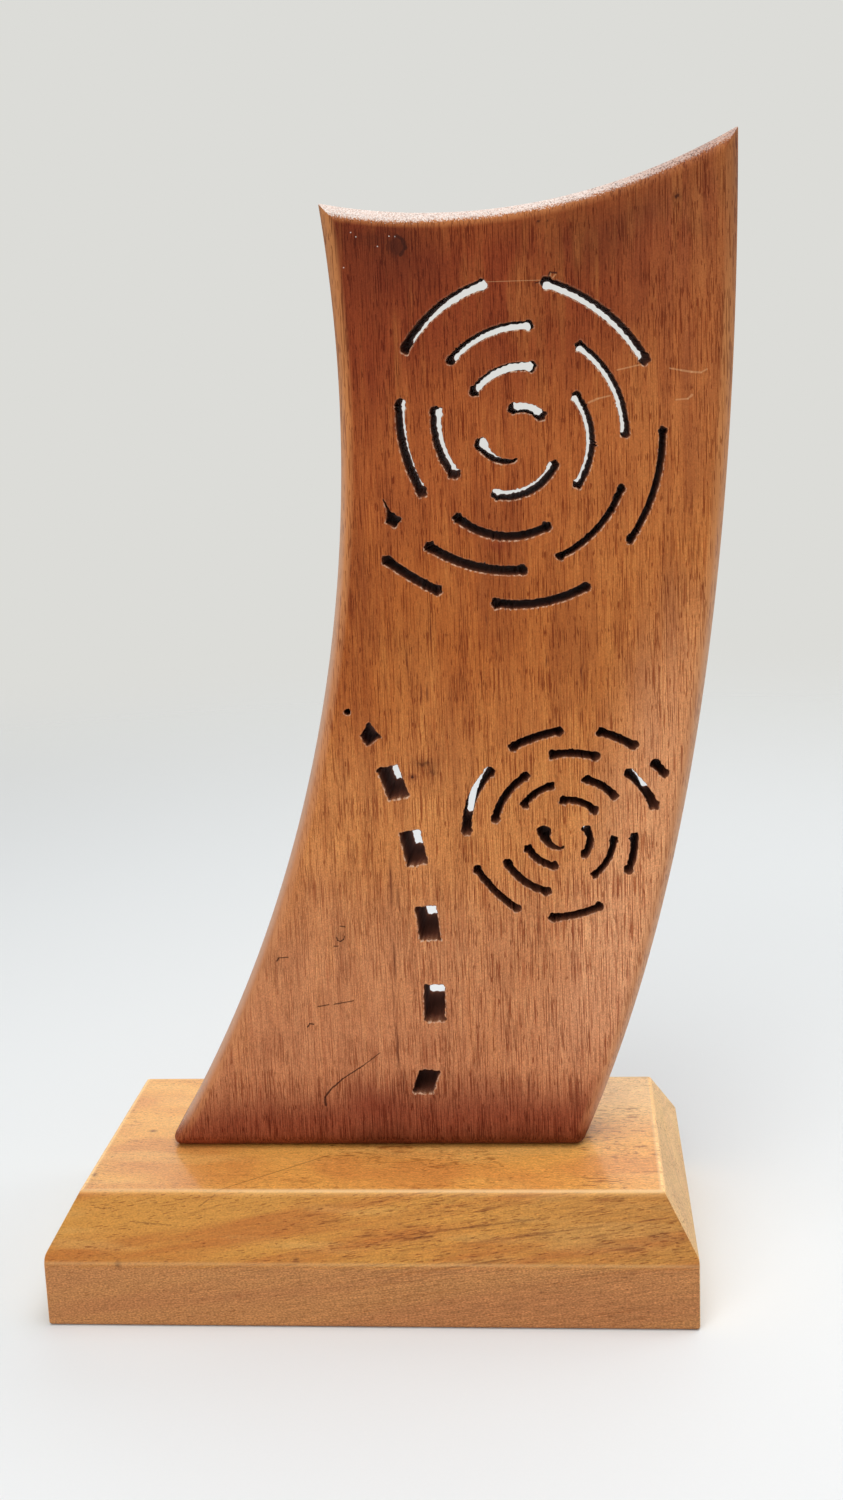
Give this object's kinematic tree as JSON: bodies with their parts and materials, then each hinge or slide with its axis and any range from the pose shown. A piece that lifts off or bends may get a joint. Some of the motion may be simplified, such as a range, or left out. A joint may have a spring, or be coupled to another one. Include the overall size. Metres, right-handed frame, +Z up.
{
  "type": "canoe stern carving",
  "caption": "Flat curved blade of dark wood, pierced by broken-spiral rosettes of curved slots and a row of small windows, fixed upright on a bevelled wooden plinth.",
  "frame": {"origin": "centre of the plinth's underside, on the surface that the carving stands on", "axes": "+Z up, +X towards the blade's taller tip, -Y out of the face that is looked at"},
  "size_m": [0.2488, 0.13, 0.4015],
  "materials": {
    "panel_wood": "oiled red-brown hardwood with upright grain and short dark pores, satin",
    "plinth_wood": "varnished honey-coloured wood with grain along its length, satin",
    "screw_steel": "zinc-plated",
    "dowel_wood": "plain turned beech, unfinished"
  },
  "bodies": {
    "root": {"plinth": "plinth_wood", "carved_panel": "panel_wood", "panel_screw_left": "screw_steel", "panel_screw_right": "screw_steel", "foot_dowel_left": "dowel_wood", "foot_dowel_right": "dowel_wood"}
  },
  "joints": []
}
